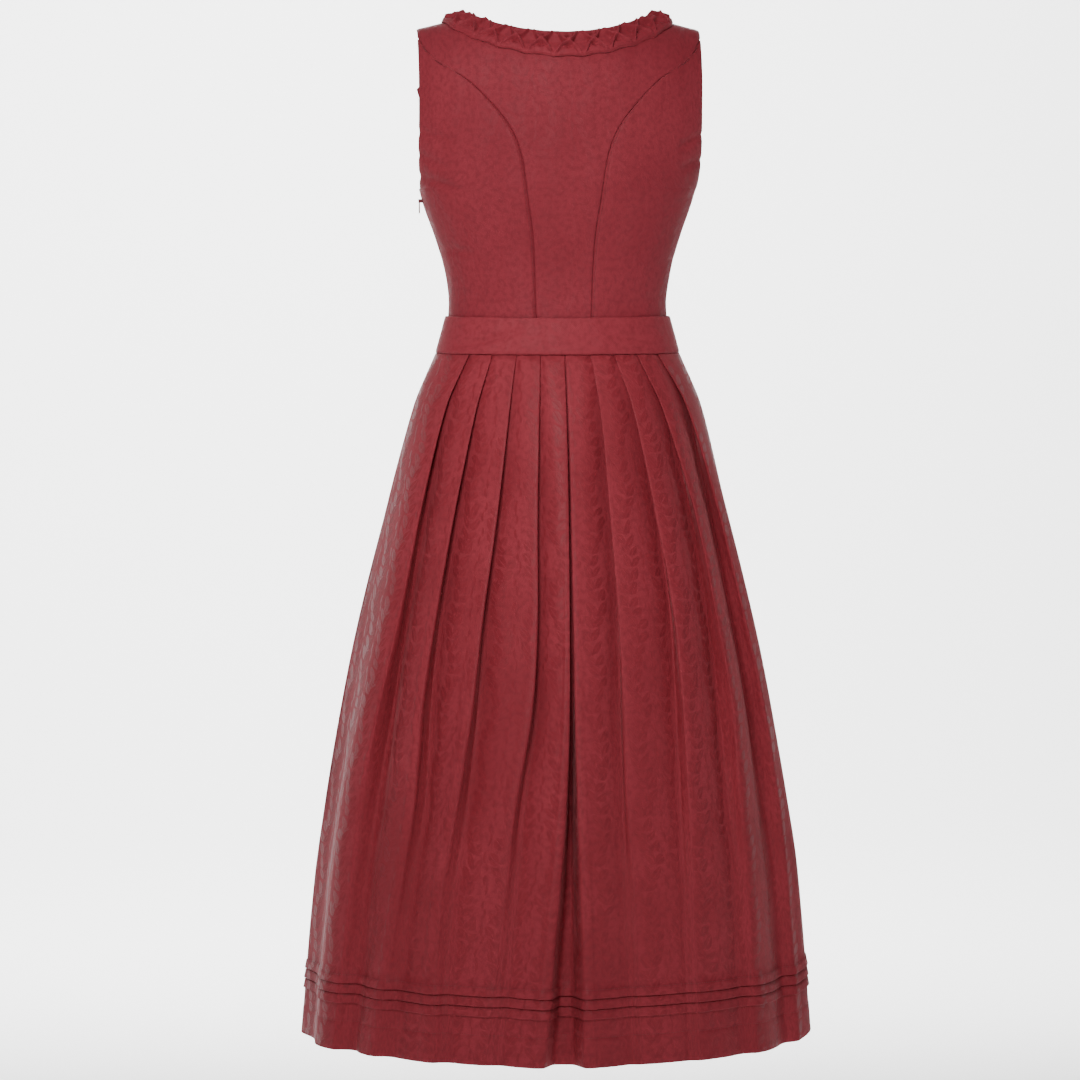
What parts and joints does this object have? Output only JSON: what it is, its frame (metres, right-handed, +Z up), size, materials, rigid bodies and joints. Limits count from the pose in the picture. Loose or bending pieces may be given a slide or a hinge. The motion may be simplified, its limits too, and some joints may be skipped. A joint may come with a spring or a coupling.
{
  "type": "dirndl dress",
  "caption": "Worn-shape midi dirndl: princess-seamed sleeveless bodice, ruched neck trim, waistband, pleated skirt with three hem tucks, side zip",
  "frame": {"origin": "midway between the two shoulder seams, where the wearer's shoulders carry the dress", "axes": "+Z up, +X to the wearer's left, +Y to the wearer's back"},
  "size_m": [0.5752, 0.5374, 1.1485],
  "materials": {
    "bodice_cloth": "tone-on-tone jacquard, soft sheen",
    "band_cloth": "tone-on-tone jacquard, soft sheen",
    "skirt_cloth": "tone-on-tone jacquard, soft sheen",
    "trim_cloth": "jacquard, ruched",
    "zip_tape": "woven tape, matt",
    "zip_metal": "satin enamel"
  },
  "bodies": {
    "garment": {"back_centre": "bodice_cloth", "back_side_left": "bodice_cloth", "back_side_right": "bodice_cloth", "front_centre": "bodice_cloth", "front_side_left": "bodice_cloth", "front_side_right": "bodice_cloth", "waistband": "band_cloth", "skirt_back": "skirt_cloth", "skirt_front": "skirt_cloth", "neck_trim": "trim_cloth", "side_zip": "zip_tape", "zip_slider": "zip_metal"},
    "pull": {"zip_pull": "zip_metal"}
  },
  "joints": [
    {"name": "pull_hinge", "type": "hinge", "parent": "garment", "child": "pull", "pos_m": [0.15524, 0, -0.204], "axis": [0, -1, 0], "range_deg": [0, 150]}
  ]
}
